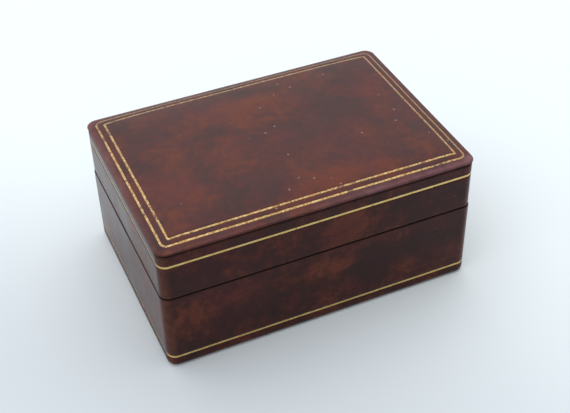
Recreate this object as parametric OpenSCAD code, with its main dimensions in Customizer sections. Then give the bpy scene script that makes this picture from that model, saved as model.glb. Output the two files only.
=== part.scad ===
// Leather jewellery case: a board box covered in gilt-lined leather, with a
// cushioned lid on two brass stop hinges and a velvet interior for rings.
// Millimetres. +Z is up, the long side runs along X and the front faces -Y.
// The origin is the centre of the underside.

/* [Case] */
// Length, side to side
case_w = 130; // [120:1:150]
// Depth, front to back
case_d = 90; // [84:1:104]
// Height of the seam between base and lid
seam_z = 35.4; // [34:0.2:42]
// Height of the lid's widest edge above the seam
lid_h = 21.6; // [21:0.2:26]
// Rise of the cushioned top above its widest edge
crown_h = 3; // [2.4:0.1:3.6]
// Outer radius of the upright corners
corner_r = 4; // [3:0.5:5]
// Height of the gap at the seam
seam_gap = 0.3; // [0.2:0.05:0.5]

/* [Boards and leather] */
// Thickness of the covering leather
leather_t = 0.9; // [0.7:0.1:1]
// Thickness of a wall: board and leather together
wall_t = 5; // [4.5:0.25:5.5]
// Thickness of the bottom board
bottom_t = 3; // [2.5:0.5:4]
// Thickness of the lid's top board
top_board_t = 2.5; // [2:0.25:2.5]
// How far the leather turns in under the base
turn_in = 9; // [7:1:12]
// Radius of the leather where it turns under the base
foot_r = 1.8; // [1:0.1:2]
// How far the lid's walls stand in from the widest edge
lid_inset = 0.2; // [0.1:0.1:0.3]

/* [Gilt lines] */
// Width of every gilt line
gilt_w = 0.9; // [0.6:0.1:1.2]
// Depth that the gilt is pressed into the leather
gilt_depth = 0.15; // [0.1:0.05:0.2]
// Height of the line round the base
base_gilt_z = 5.4; // [4:0.1:8]
// Distance of the line round the lid below the widest edge
lid_gilt_drop = 5.9; // [4:0.1:8]
// Distance of the outer top frame from the edge
outer_frame_in = 3.4; // [3:0.1:5]
// Distance of the inner top frame from the edge
inner_frame_in = 6.5; // [6:0.1:10]

/* [Interior] */
// Thickness of the velvet-covered wall linings
lining_t = 1.2; // [1:0.1:1.6]
// How far the base linings stand up into the lid
lip_h = 3.5; // [2:0.5:5]
// Gap between the lip and the lid's walls
lip_gap = 0.4; // [0.3:0.1:0.6]
// Thickness of the velvet dividers
divider_t = 2; // [1.5:0.5:3]
// Thickness of the padded floor
floor_pad_t = 2; // [1.5:0.5:3]
// Number of ring rolls
ring_rolls = 6; // [6:1:6]
// Length of a ring roll
roll_l = 39.6; // [34:0.2:44]
// Top of the block that the ring rolls lie on
ring_bed_z = 16; // [12:1:18]
// Height of the dividers' top edge
divider_top_z = 30; // [26:1:32]
// Thickness of the lid's padded lining
lid_pad_t = 4.5; // [3:0.5:6]

/* [Hinges] */
// Distance of each hinge's middle from the case's middle
hinge_x = 36; // [28:1:42]
// Length of a hinge
hinge_l = 18; // [16:1:22]
// Angle at which the hinge stops the lid
stop_angle = 100; // [95:1:105]
// Distance of the hinge pin behind the case
pin_back = 1.5; // [1.5:0.1:2]
// Radius of a knuckle
knuckle_r = 1.3; // [1.2:0.05:1.35]
// Radius of a hinge pin
pin_r = 0.6; // [0.5:0.05:0.7]
// Thickness of a hinge leaf
leaf_t = 1; // [0.8:0.1:1]

/* [Hidden] */
$fn = 48;
eps = 0.01;

// Heights, from the ground up
underside_t = 0.3;
underside_in = 3;
board_z0 = underside_t + leather_t;
floor_z = board_z0 + bottom_t;
rim_z = seam_z - seam_gap / 2;
base_board_top = rim_z - leather_t;
lip_z = rim_z + lip_h;
lid_rim_z = seam_z + seam_gap / 2;
lid_board_z0 = lid_rim_z + leather_t;
edge_z = seam_z + lid_h;
bull_r = 0.8;
crease_z = edge_z - 1;
crease_in = 0.5;
crease_gap = 0.1;
top_board_z1 = edge_z - 0.2;
top_board_z0 = top_board_z1 - top_board_t;
lid_gilt_z = edge_z - lid_gilt_drop;

// Outlines: the leather outside, the boards under it and the space inside them
lid_w = case_w - 2 * lid_inset;
lid_d = case_d - 2 * lid_inset;
board_w = case_w - 2 * leather_t;
board_d = case_d - 2 * leather_t;
board_r = corner_r - leather_t;
lid_board_w = lid_w - 2 * leather_t;
lid_board_d = lid_d - 2 * leather_t;
inner_w = case_w - 2 * wall_t;
inner_d = case_d - 2 * wall_t;
lid_inner_w = inner_w + 2 * lip_gap;
lid_inner_d = inner_d + 2 * lip_gap;
bay_w = inner_w - 2 * lining_t;
bay_d = inner_d - 2 * lining_t;

// Frame corners: the outer line turns on a radius, the inner one is mitred
outer_frame_r = 2.6;
inner_frame_r = 0;

// Crown of the lid: a bullnose edge, then a slope that eases to a flat middle
crown_run = 5.5;
crown_steps = [outer_frame_in, 5, inner_frame_in, 9, 12, 17, 24, 32];
function crown_at(inset) = crown_h * (1 - exp(-inset / crown_run));
function crown_corner(inset) = min(corner_r + 0.35 * inset, case_d / 2 - inset - 1);

// Interior plan
velvet_gap = 0.2;
ring_wall_x = -bay_w / 2 + roll_l + 2 * velvet_gap;
right_x0 = ring_wall_x + divider_t;
long_divider_y = 4;
cross_divider_x = right_x0 + (bay_w / 2 - right_x0) / 2 - divider_t / 2;
pad_z = floor_z + floor_pad_t;
roll_pitch = bay_d / ring_rolls;
roll_r = roll_pitch / 2 - 0.07;
lid_lining_z = lip_z + 0.5;
lid_bay_w = lid_inner_w - 2 * lining_t;
lid_bay_d = lid_inner_d - 2 * lining_t;

// Hinges
pin_y = case_d / 2 + pin_back;
leaf_gap = 0.1;
knuckle_gap = 0.1;
knuckle_l = (hinge_l - 2 * knuckle_gap) / 3;
leaf_y0 = inner_d / 2 + 1;
notch_gap = 0.1;
lid_bore_r = pin_r + 0.05;
base_bore_r = pin_r + 0.02;
heel_r0 = knuckle_r + 0.15;
heel_r1 = 2.3;
heel_slack = 0.3;
heel_angle = stop_angle / 2 + heel_slack;
pin_head_r = 0.95;
pin_head_t = 0.4;
screw_x = 5.5;
screw_y = leaf_y0 + 1.6;
screw_r = 0.55;
screw_head_r = 1;
screw_head_t = 0.45;
screw_l = 5;
screw_tip_l = 1;
screw_gap = 0.03;

// Finishes
oxblood = "#4a2522";
gilt = "#c9a24a";
poplar = "#c8a878";
millboard = "#9a8d78";
velvet = "#5c1a26";
satin = "#d9c49a";
felt = "#2e2a28";
wadding = "#e6e1d4";
brass = "#b99145";
steel = "#a9a9a4";

// ---------- Shared shapes ----------

// A rectangle with round corners, centred on the origin
module rounded_rect(w, d, r) {
    square([w - 2 * r, d], center = true);
    square([w, d - 2 * r], center = true);
    for (x = [-1, 1], y = [-1, 1])
        translate([x * (w / 2 - r), y * (d / 2 - r)]) circle(r = r);
}

// An upright slab with round corners between two heights
module slab(w, d, r, z0, z1) {
    translate([0, 0, z0]) linear_extrude(z1 - z0) rounded_rect(w, d, r);
}

// A box given by its low corner and its high corner
module block(low, high) {
    translate(low) cube(high - low);
}

// Half of an upright section whose lower corner is rounded
module footed_half(half, h, foot) {
    translate([0, foot]) square([half, h - foot]);
    square([half - foot, h]);
    translate([half - foot, foot]) circle(r = foot);
}

// A slab whose lower edge is rounded all the way round
module footed_slab(w, d, r, z0, z1, foot) {
    h = z1 - z0;
    for (x = [-1, 1], y = [-1, 1])
        translate([x * (w / 2 - r), y * (d / 2 - r), z0])
            rotate_extrude() footed_half(r, h, foot);
    for (side = [0, 180]) rotate([0, 0, side]) {
        translate([w / 2 - r, d / 2 - r, z0]) rotate([90, 0, 0])
            linear_extrude(d - 2 * r) footed_half(r, h, foot);
        translate([-w / 2 + r, d / 2 - r, z0]) rotate([90, 0, 90])
            linear_extrude(w - 2 * r) footed_half(r, h, foot);
    }
    translate([0, 0, z0 + h / 2]) cube([w - 2 * r, d - 2 * r, h], center = true);
}

// A front or back board with the case's round corners; side is -1 or 1
module end_board(side, w, d, clear_d, z0, z1) {
    intersection() {
        slab(w, d, board_r, z0, z1);
        block([-w / 2, side > 0 ? clear_d / 2 : -d / 2, z0], [w / 2, side > 0 ? d / 2 : -clear_d / 2, z1]);
    }
}

// A left or right board, set between the front and the back
module side_board(side, w, clear_w, clear_d, z0, z1) {
    block([side > 0 ? clear_w / 2 : -w / 2, -clear_d / 2, z0], [side > 0 ? w / 2 : -clear_w / 2, clear_d / 2, z1]);
}

// A strip of leather or gilt all round the case, between two outlines
module ring(w, d, r, t, z0, z1) {
    difference() {
        slab(w, d, r, z0, z1);
        slab(w - 2 * t, d - 2 * t, r - t, z0 - eps, z1 + eps);
    }
}

// A gilt line pressed into an upright side
module side_line(w, d, r, z) {
    ring(w, d, r, gilt_depth, z - gilt_w / 2, z + gilt_w / 2);
}

// One level of the lid's crown, as a thin slice for a hull
module crown_slice(inset, z) {
    slab(case_w - 2 * inset, case_d - 2 * inset, crown_corner(inset), z - eps, z);
}

// The cushioned top's outer shape, from the crease to the middle
module crown_body() {
    $fn = 32;
    hull() {
        slab(case_w - 2 * crease_in, case_d - 2 * crease_in, corner_r - crease_in, crease_z, crease_z + eps);
        for (x = [-1, 1], y = [-1, 1])
            translate([x * (case_w / 2 - corner_r), y * (case_d / 2 - corner_r), edge_z])
                rotate_extrude() translate([corner_r - bull_r, 0]) intersection() {
                    circle(r = bull_r, $fn = 24);
                    translate([0, -bull_r]) square([bull_r, 2 * bull_r]);
                }
        for (inset = crown_steps) crown_slice(inset, edge_z + crown_at(inset));
    }
}

// The wadding's shape: the crown less the leather over it
module wadding_body() {
    $fn = 32;
    hull() {
        slab(lid_board_w, lid_board_d, board_r, top_board_z1, top_board_z1 + eps);
        for (inset = crown_steps) crown_slice(inset, edge_z + crown_at(inset) - leather_t);
    }
}

// The upright band that one gilt frame of the lid lies in
module frame_band(inset, r) {
    w = case_w - 2 * inset;
    d = case_d - 2 * inset;
    translate([0, 0, edge_z]) linear_extrude(crown_h + 1) difference() {
        if (r > 0) rounded_rect(w + gilt_w, d + gilt_w, r + gilt_w / 2);
        else square([w + gilt_w, d + gilt_w], center = true);
        if (r > 0) rounded_rect(w - gilt_w, d - gilt_w, r - gilt_w / 2);
        else square([w - gilt_w, d - gilt_w], center = true);
    }
}

// A gilt frame pressed into the top, following its crown
module gilt_frame(inset, r) {
    difference() {
        intersection() {
            crown_body();
            frame_band(inset, r);
        }
        translate([0, 0, -gilt_depth]) crown_body();
    }
}

// The pilot holes of one board's hinge screws, above or below a rim
module pilot_holes(z, up) {
    for (h = [-1, 1], s = [-1, 1])
        translate([h * hinge_x + s * screw_x, screw_y, up ? z - 1 : z - screw_l])
            cylinder(r = screw_r + screw_gap, h = screw_l + 1);
}

// The notches in the back's leather that the hinge leaves lie in
module hinge_notches(z0, z1) {
    for (h = [-1, 1])
        block([h * hinge_x - hinge_l / 2 - notch_gap, leaf_y0 - notch_gap, z0],
              [h * hinge_x + hinge_l / 2 + notch_gap, case_d / 2 + 1, z1]);
}

// ---------- Base ----------

module base_front_board() {
    color(poplar) end_board(-1, board_w, board_d, inner_d, board_z0, base_board_top);
}

module base_back_board() {
    color(poplar) difference() {
        end_board(1, board_w, board_d, inner_d, board_z0, base_board_top);
        pilot_holes(base_board_top, false);
    }
}

module base_left_board() {
    color(poplar) side_board(-1, board_w, inner_w, inner_d, board_z0, base_board_top);
}

module base_right_board() {
    color(poplar) side_board(1, board_w, inner_w, inner_d, board_z0, base_board_top);
}

module base_bottom_board() {
    color(millboard) block([-inner_w / 2, -inner_d / 2, board_z0], [inner_w / 2, inner_d / 2, floor_z]);
}

// One strip of leather: round the sides, over the rim and in under the base
module base_leather() {
    color(oxblood) difference() {
        footed_slab(case_w, case_d, corner_r, underside_t, rim_z, foot_r);
        slab(board_w, board_d, board_r, board_z0, base_board_top);
        block([-inner_w / 2, -inner_d / 2, base_board_top - eps], [inner_w / 2, inner_d / 2, rim_z + eps]);
        block([-case_w / 2 + turn_in, -case_d / 2 + turn_in, underside_t - eps],
              [case_w / 2 - turn_in, case_d / 2 - turn_in, board_z0 + eps]);
        side_line(case_w, case_d, corner_r, base_gilt_z);
        hinge_notches(base_board_top, rim_z + 1);
    }
}

module base_gilt_line() {
    color(gilt) side_line(case_w, case_d, corner_r, base_gilt_z);
}

// The pad on the underside: over the turned-in leather, and thicker inside it
module underside_pad() {
    color(felt) {
        slab(case_w - 2 * underside_in, case_d - 2 * underside_in, corner_r - 1, 0, underside_t);
        block([-case_w / 2 + turn_in, -case_d / 2 + turn_in, 0],
              [case_w / 2 - turn_in, case_d / 2 - turn_in, board_z0]);
    }
}

module base_front_lining() {
    color(velvet) block([-inner_w / 2, -inner_d / 2, floor_z], [inner_w / 2, -bay_d / 2, lip_z]);
}

module base_back_lining() {
    color(velvet) block([-inner_w / 2, bay_d / 2, floor_z], [inner_w / 2, inner_d / 2, lip_z]);
}

module base_left_lining() {
    color(velvet) block([-inner_w / 2, -bay_d / 2, floor_z], [-bay_w / 2, bay_d / 2, lip_z]);
}

module base_right_lining() {
    color(velvet) block([bay_w / 2, -bay_d / 2, floor_z], [inner_w / 2, bay_d / 2, lip_z]);
}

module floor_pad() {
    color(velvet) block([right_x0 + velvet_gap, -bay_d / 2 + velvet_gap, floor_z],
                        [bay_w / 2 - velvet_gap, bay_d / 2 - velvet_gap, pad_z]);
}

// The wall between the ring rolls and the compartments
module ring_divider() {
    color(velvet) block([ring_wall_x, -bay_d / 2, floor_z], [right_x0, bay_d / 2, divider_top_z]);
}

module long_divider() {
    color(velvet) block([right_x0, long_divider_y, pad_z], [bay_w / 2, long_divider_y + divider_t, divider_top_z]);
}

module cross_divider() {
    color(velvet) block([cross_divider_x, long_divider_y + divider_t, pad_z],
                        [cross_divider_x + divider_t, bay_d / 2, divider_top_z]);
}

// The block under the ring rolls
module ring_bed() {
    color(velvet) block([-bay_w / 2 + velvet_gap / 2, -bay_d / 2 + velvet_gap, floor_z],
                        [ring_wall_x - velvet_gap / 2, bay_d / 2 - velvet_gap, ring_bed_z]);
}

// A soft velvet roll; rings are held between it and the next one
module ring_roll(place) {
    end_r = 1.5;
    color(velvet)
        translate([-bay_w / 2 + velvet_gap, -bay_d / 2 + (place - 0.5) * roll_pitch, ring_bed_z + roll_r])
            rotate([0, 90, 0]) rotate_extrude() {
                square([roll_r - end_r, roll_l]);
                translate([0, end_r]) square([roll_r, roll_l - 2 * end_r]);
                for (z = [end_r, roll_l - end_r]) translate([roll_r - end_r, z]) circle(r = end_r);
            }
}

// ---------- Hinges ----------
// Each is drawn about its pin, with the case on the -Y side.

// A sector of a tube about the pin, between two angles seen from +X
module sector(from, to, r0, r1, l) {
    reach = 2 * r1;
    rotate([90, 0, 90]) translate([0, 0, -l / 2]) linear_extrude(l) intersection() {
        difference() {
            circle(r = r1);
            circle(r = r0);
        }
        polygon([[0, 0], [reach * cos(from), reach * sin(from)], [reach * cos(to), reach * sin(to)]]);
    }
}

// The base's leaf: a plate with arms to its knuckles, and along the whole hinge
// the heel that stops the lid, joined to each knuckle by a web.
// The lid's leaf is the same form turned over, with its own knuckles.
module hinge_leaf(places, bore) {
    plate_z1 = -leaf_gap / 2;
    plate_z0 = plate_z1 - leaf_t;
    plate_y1 = -pin_back;
    arm_y1 = -0.7;
    arm_l = knuckle_l - 0.1;
    web_angle = 4;
    difference() {
        union() {
            translate([0, 0, plate_z0]) linear_extrude(leaf_t) {
                translate([-hinge_l / 2, leaf_y0 - pin_y]) square([hinge_l, plate_y1 - leaf_y0 + pin_y]);
                for (x = places) translate([x - arm_l / 2, plate_y1 - 1]) square([arm_l, arm_y1 - plate_y1 + 1]);
            }
            sector(-90, -heel_angle, heel_r0, heel_r1, hinge_l);
            for (x = places) translate([x, 0, 0]) {
                rotate([0, 90, 0]) cylinder(r = knuckle_r, h = knuckle_l, center = true);
                sector(web_angle - 90, -web_angle - heel_angle, knuckle_r - 0.3, heel_r1 - 0.4, arm_l);
            }
        }
        rotate([0, 90, 0]) cylinder(r = bore, h = hinge_l + 1, center = true);
        for (s = [-1, 1]) translate([s * screw_x, screw_y - pin_y, 0]) {
            translate([0, 0, plate_z0 - 1]) cylinder(r = screw_r + screw_gap, h = leaf_t + 2);
            translate([0, 0, plate_z1 - screw_head_t])
                cylinder(r1 = screw_r + screw_gap, r2 = screw_head_r + screw_gap, h = screw_head_t + eps);
        }
    }
}

// A base leaf and a lid leaf; side is -1 for the left hinge and 1 for the right
module base_leaf(side) {
    color(brass) translate([side * hinge_x, pin_y, seam_z])
        hinge_leaf([-knuckle_l - knuckle_gap, knuckle_l + knuckle_gap], base_bore_r);
}

module lid_leaf(side) {
    color(brass) translate([side * hinge_x, pin_y, seam_z]) mirror([0, 0, 1]) hinge_leaf([0], lid_bore_r);
}

// A pin with its two riveted heads
module hinge_pin(side) {
    shaft_l = hinge_l + 2 * screw_gap;
    color(brass) translate([side * hinge_x, pin_y, seam_z]) rotate([0, 90, 0]) {
        cylinder(r = pin_r, h = shaft_l, center = true);
        for (s = [-1, 1]) translate([0, 0, s * (shaft_l + pin_head_t) / 2])
            cylinder(r = pin_head_r, h = pin_head_t, center = true);
    }
}

// A countersunk screw, head at the origin, driven down
module screw() {
    translate([0, 0, -screw_head_t]) cylinder(r1 = screw_r, r2 = screw_head_r, h = screw_head_t);
    translate([0, 0, -screw_l + screw_tip_l]) cylinder(r = screw_r, h = screw_l - screw_tip_l);
    translate([0, 0, -screw_l]) cylinder(r1 = 0.1, r2 = screw_r, h = screw_tip_l);
}

module hinge_screws() {
    for (h = [-1, 1], s = [-1, 1]) translate([h * hinge_x + s * screw_x, screw_y, -leaf_gap / 2]) screw();
}

module left_hinge_base_leaf() { base_leaf(-1); }
module right_hinge_base_leaf() { base_leaf(1); }
module left_hinge_lid_leaf() { lid_leaf(-1); }
module right_hinge_lid_leaf() { lid_leaf(1); }
module left_hinge_pin() { hinge_pin(-1); }
module right_hinge_pin() { hinge_pin(1); }

module base_hinge_screws() {
    color(steel) translate([0, 0, seam_z]) hinge_screws();
}

module lid_hinge_screws() {
    color(steel) translate([0, 0, seam_z]) mirror([0, 0, 1]) hinge_screws();
}

// ---------- Lid ----------

module lid_front_board() {
    color(poplar) end_board(-1, lid_board_w, lid_board_d, lid_inner_d, lid_board_z0, top_board_z0);
}

module lid_back_board() {
    color(poplar) difference() {
        end_board(1, lid_board_w, lid_board_d, lid_inner_d, lid_board_z0, top_board_z0);
        pilot_holes(lid_board_z0, true);
    }
}

module lid_left_board() {
    color(poplar) side_board(-1, lid_board_w, lid_inner_w, lid_inner_d, lid_board_z0, top_board_z0);
}

module lid_right_board() {
    color(poplar) side_board(1, lid_board_w, lid_inner_w, lid_inner_d, lid_board_z0, top_board_z0);
}

module lid_top_board() {
    color(millboard) slab(lid_board_w, lid_board_d, board_r, top_board_z0, top_board_z1);
}

module lid_wadding() {
    color(wadding) wadding_body();
}

// The leather of the top, drawn over the wadding and in under the edge
module lid_top_leather() {
    color(oxblood) difference() {
        crown_body();
        wadding_body();
        slab(lid_board_w, lid_board_d, board_r, crease_z - 1, top_board_z1 + eps);
        difference() {
            union() {
                frame_band(outer_frame_in, outer_frame_r);
                frame_band(inner_frame_in, inner_frame_r);
            }
            translate([0, 0, -gilt_depth]) crown_body();
        }
    }
}

// The leather round the lid's sides, turned in over its rim
module lid_side_leather() {
    color(oxblood) difference() {
        slab(lid_w, lid_d, corner_r, lid_rim_z, crease_z - crease_gap);
        slab(lid_board_w, lid_board_d, board_r, lid_board_z0, crease_z + 1);
        block([-lid_inner_w / 2, -lid_inner_d / 2, lid_rim_z - eps],
              [lid_inner_w / 2, lid_inner_d / 2, lid_board_z0 + eps]);
        side_line(lid_w, lid_d, corner_r, lid_gilt_z);
        hinge_notches(lid_rim_z - 1, lid_board_z0);
    }
}

module lid_side_gilt_line() {
    color(gilt) side_line(lid_w, lid_d, corner_r, lid_gilt_z);
}

module lid_outer_gilt_frame() {
    color(gilt) gilt_frame(outer_frame_in, outer_frame_r);
}

module lid_inner_gilt_frame() {
    color(gilt) gilt_frame(inner_frame_in, inner_frame_r);
}

module lid_front_lining() {
    color(satin) block([-lid_inner_w / 2, -lid_inner_d / 2, lid_lining_z], [lid_inner_w / 2, -lid_bay_d / 2, top_board_z0]);
}

module lid_back_lining() {
    color(satin) block([-lid_inner_w / 2, lid_bay_d / 2, lid_lining_z], [lid_inner_w / 2, lid_inner_d / 2, top_board_z0]);
}

module lid_left_lining() {
    color(satin) block([-lid_inner_w / 2, -lid_bay_d / 2, lid_lining_z], [-lid_bay_w / 2, lid_bay_d / 2, top_board_z0]);
}

module lid_right_lining() {
    color(satin) block([lid_bay_w / 2, -lid_bay_d / 2, lid_lining_z], [lid_inner_w / 2, lid_bay_d / 2, top_board_z0]);
}

// The lid's padded lining, swelling down from the top board
module lid_pad() {
    side_t = 1.5;
    swell_in = 12;
    color(satin) hull() {
        $fn = 32;
        slab(lid_bay_w - 2 * velvet_gap, lid_bay_d - 2 * velvet_gap, 1.5, top_board_z0 - eps, top_board_z0);
        for (a = [0:15:90]) {
            inset = velvet_gap + swell_in * (1 - cos(a));
            z = top_board_z0 - side_t - (lid_pad_t - side_t) * sin(a);
            slab(lid_bay_w - 2 * inset, lid_bay_d - 2 * inset, 1.5 + inset / 2, z, z + eps);
        }
    }
}

base_front_board();
base_back_board();
base_left_board();
base_right_board();
base_bottom_board();
base_leather();
base_gilt_line();
underside_pad();
base_front_lining();
base_back_lining();
base_left_lining();
base_right_lining();
floor_pad();
ring_divider();
long_divider();
cross_divider();
ring_bed();
ring_roll(1);  // ring_roll_1
ring_roll(2);  // ring_roll_2
ring_roll(3);  // ring_roll_3
ring_roll(4);  // ring_roll_4
ring_roll(5);  // ring_roll_5
ring_roll(6);  // ring_roll_6
left_hinge_base_leaf();
right_hinge_base_leaf();
left_hinge_pin();
right_hinge_pin();
base_hinge_screws();
lid_front_board();
lid_back_board();
lid_left_board();
lid_right_board();
lid_top_board();
lid_wadding();
lid_top_leather();
lid_side_leather();
lid_side_gilt_line();
lid_outer_gilt_frame();
lid_inner_gilt_frame();
lid_front_lining();
lid_back_lining();
lid_left_lining();
lid_right_lining();
lid_pad();
left_hinge_lid_leaf();
right_hinge_lid_leaf();
lid_hinge_screws();
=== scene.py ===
"""A leather jewellery case: its looks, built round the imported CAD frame.

Lengths in the mesh code are millimetres in the frame's own axes, and make_piece()
turns them into Blender's metres.
"""

import math

import bmesh
import bpy
import numpy as np
from mathutils import Matrix, Vector, noise


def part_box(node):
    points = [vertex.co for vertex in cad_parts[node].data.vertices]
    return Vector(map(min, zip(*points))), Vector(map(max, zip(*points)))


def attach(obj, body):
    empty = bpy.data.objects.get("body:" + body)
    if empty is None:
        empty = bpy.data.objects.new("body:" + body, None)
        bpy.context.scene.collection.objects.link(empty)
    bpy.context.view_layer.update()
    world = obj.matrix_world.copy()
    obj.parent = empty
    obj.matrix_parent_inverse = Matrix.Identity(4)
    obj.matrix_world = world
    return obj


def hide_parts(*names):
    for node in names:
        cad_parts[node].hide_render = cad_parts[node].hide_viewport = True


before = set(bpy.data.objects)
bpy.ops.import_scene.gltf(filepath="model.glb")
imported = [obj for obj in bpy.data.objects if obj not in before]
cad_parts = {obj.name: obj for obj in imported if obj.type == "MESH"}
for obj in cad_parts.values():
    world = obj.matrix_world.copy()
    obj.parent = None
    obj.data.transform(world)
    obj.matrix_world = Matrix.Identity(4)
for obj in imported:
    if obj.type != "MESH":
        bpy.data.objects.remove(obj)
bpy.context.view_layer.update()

MM = 0.001


def box_mm(node):
    """The lowest and the highest corner of a CAD node, in millimetres."""
    low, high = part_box(node)
    return np.array(low) / MM, np.array(high) / MM


def centre_mm(node):
    low, high = box_mm(node)
    return (low + high) / 2


# ---------- Sizes: some worked out from the frame, the rest given ---

BASE_LOW, BASE_HIGH = box_mm("base_leather")
LID_LOW, LID_HIGH = box_mm("lid_side_leather")
TOP_LOW, TOP_HIGH = box_mm("lid_top_leather")
HALF_W, HALF_D = BASE_HIGH[0], BASE_HIGH[1]
LID_HALF_W, LID_HALF_D = LID_HIGH[0], LID_HIGH[1]
LEATHER_T = HALF_W - box_mm("base_right_board")[1][0]
CORNER_R = 4.0

BASE_GILT_Z = centre_mm("base_gilt_line")[2]
LID_GILT_Z = centre_mm("lid_side_gilt_line")[2]
GILT_W = box_mm("base_gilt_line")[1][2] - box_mm("base_gilt_line")[0][2]
OUTER_FRAME_IN = HALF_W - box_mm("lid_outer_gilt_frame")[1][0] + GILT_W / 2
INNER_FRAME_IN = HALF_W - box_mm("lid_inner_gilt_frame")[1][0] + GILT_W / 2
OUTER_FRAME_R = 2.6
GROOVE_DEPTH = 0.14
FOIL_RISE = 0.035
FOIL_STEP = 0.35

# The rounded edge of the top: a bullnose, and above it a crown that eases to the middle.
# The crown starts at a slope, in degrees, and the bullnose ends where it reaches that slope.
BULL_R = 0.8
CREASE_DROP = 1.0
CROWN_SLOPE = 15.5
EDGE_Z = TOP_LOW[2] + CREASE_DROP
CROWN_Z = TOP_HIGH[2]
BULL_END = math.radians(90 - CROWN_SLOPE)
CROWN_START_IN = BULL_R * (1 - math.cos(BULL_END))
CROWN_START_Z = EDGE_Z + BULL_R * math.sin(BULL_END)
CROWN_RUN = (CROWN_Z - CROWN_START_Z) * math.tan(BULL_END)

# The last ring of the top's mesh: a grid fills what is inside it
MIDDLE_IN = 7.6

# Outlines are drawn with the same number of points whatever their size
CORNER_BOX = 5.0
ARC_STEPS = 12
SIDE_STEP = 1.3
NOTCH_PLAY = 0.1
NOTCHES = [(box_mm(n)[0][0] - NOTCH_PLAY, box_mm(n)[1][0] + NOTCH_PLAY)
           for n in ("left_hinge_lid_leaf", "right_hinge_lid_leaf")]
NOTCH_SLACK = 0.05
# Where the ends of the side leather meet, at the back
JOINT_X = 3.0
# A side's leather and its gilt line share a seed, so that the foil follows the leather
BASE_SEED = 21
LID_SIDE_SEED = 11


# ---------- Mesh helpers ----------

def make_piece(name, points, faces, sharp_angle=35):
    """A closed mesh object, with its normals outwards, smooth but for its sharp edges."""
    mesh = bpy.data.meshes.new(name)
    mesh.from_pydata((np.asarray(points) * MM).tolist(), [], faces)
    shape = bmesh.new()
    shape.from_mesh(mesh)
    bmesh.ops.recalc_face_normals(shape, faces=shape.faces)
    shape.to_mesh(mesh)
    shape.free()
    mesh.shade_smooth()
    mesh.set_sharp_from_angle(angle=math.radians(sharp_angle))
    piece = bpy.data.objects.new(name, mesh)
    bpy.context.scene.collection.objects.link(piece)
    return piece


def paint(piece, **masks):
    """Stores what a material needs to know about each point, such as how worn it is."""
    for name, values in masks.items():
        attribute = piece.data.attributes.new(name, "FLOAT", "POINT")
        attribute.data.foreach_set("value", np.asarray(values, np.float32))
    return piece


def fit_out(piece, body, slot, material, *stands_for):
    """Gives a piece its material and the body it rides on, and hides the CAD nodes it stands for."""
    piece.data.materials.append(material)
    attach(piece, body)
    if stands_for:
        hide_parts(*stands_for)
    return piece


def smoothstep(low, high, value):
    t = np.clip((np.asarray(value, float) - low) / (high - low), 0, 1)
    return t * t * (3 - 2 * t)


def waves(points, size, seed):
    """Smooth noise from -1 to 1 at each point, with features of about the given size."""
    shift = Vector((seed * 13.7, seed * 5.1, seed * 9.3))
    return np.array([noise.noise(Vector(p) / size + shift) for p in points])


def at_height(plan, z):
    """Points of a plan, at one height or at a height each."""
    return np.column_stack([plan, np.broadcast_to(z, len(plan))])


def outline_distance(x, y, half_w, half_d, radius):
    """Signed distance from points to the outline of a round-cornered rectangle."""
    over_x = np.abs(x) - half_w + radius
    over_y = np.abs(y) - half_d + radius
    outside = np.hypot(np.maximum(over_x, 0), np.maximum(over_y, 0))
    return np.minimum(np.maximum(over_x, over_y), 0) + outside - radius


def corner_points(radius):
    """A corner from its right side to its far side, about the inner point of the corner box."""
    points = []
    flat = CORNER_BOX - radius
    for turn in np.radians(np.linspace(0, 90, ARC_STEPS + 1)):
        c, s = math.cos(turn), math.sin(turn)
        if CORNER_BOX * s <= flat * c:
            points.append((CORNER_BOX, CORNER_BOX * s / c))
        elif CORNER_BOX * c <= flat * s:
            points.append((CORNER_BOX * c / s, CORNER_BOX))
        else:
            along = flat * (c + s)
            reach = along + math.sqrt(max(along ** 2 - 2 * flat ** 2 + radius ** 2, 0))
            points.append((reach * c, reach * s))
    return np.array(points)


def straight_x(end):
    """Points along a long side: fixed where the hinges are, and spread out beyond them."""
    fixed_end = 50
    edges = [e + s * 0.02 for notch in NOTCHES for e in notch for s in (-1, 1)]
    joint = [JOINT_X + d for d in (-0.3, -0.12, 0, 0.12, 0.3)]
    fixed = [x for x in np.arange(-fixed_end, fixed_end + 0.01, SIDE_STEP)
             if min(abs(x - e) for e in edges + joint) > 0.3]
    fixed = sorted(fixed + edges + joint)
    outer = np.linspace(fixed_end + 1, end, 8)[:-1]
    return np.concatenate([-outer[::-1], fixed, outer])


def outline(half_w, half_d, radius):
    """Points round a round-cornered rectangle, anticlockwise from its right side."""
    end_x, end_y = half_w - CORNER_BOX, half_d - CORNER_BOX
    corner = corner_points(max(radius, 0)) + (end_x, end_y)
    xs = straight_x(end_x)
    steps_y = round(2 * (HALF_D - CORNER_BOX) / SIDE_STEP)
    ys = np.linspace(-end_y, end_y, steps_y + 1)[1:-1]
    far = [(x, half_d) for x in xs[::-1]]
    left = [(-half_w, y) for y in ys[::-1]]
    parts = [corner, far, (corner * (-1, 1))[::-1], left, -corner,
             [(-x, -y) for x, y in far], (corner * (1, -1))[::-1], [(-x, -y) for x, y in left]]
    return np.concatenate([np.asarray(p, float) for p in parts])


def ring_faces(rings, around, closed):
    """Quads between neighbouring rings, and from the last to the first if closed."""
    faces = []
    for j in range(rings if closed else rings - 1):
        k = (j + 1) % rings
        for i in range(around):
            n = (i + 1) % around
            faces.append((j * around + i, j * around + n, k * around + n, k * around + i))
    return faces


# ---------- The cushioned top ----------

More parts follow.
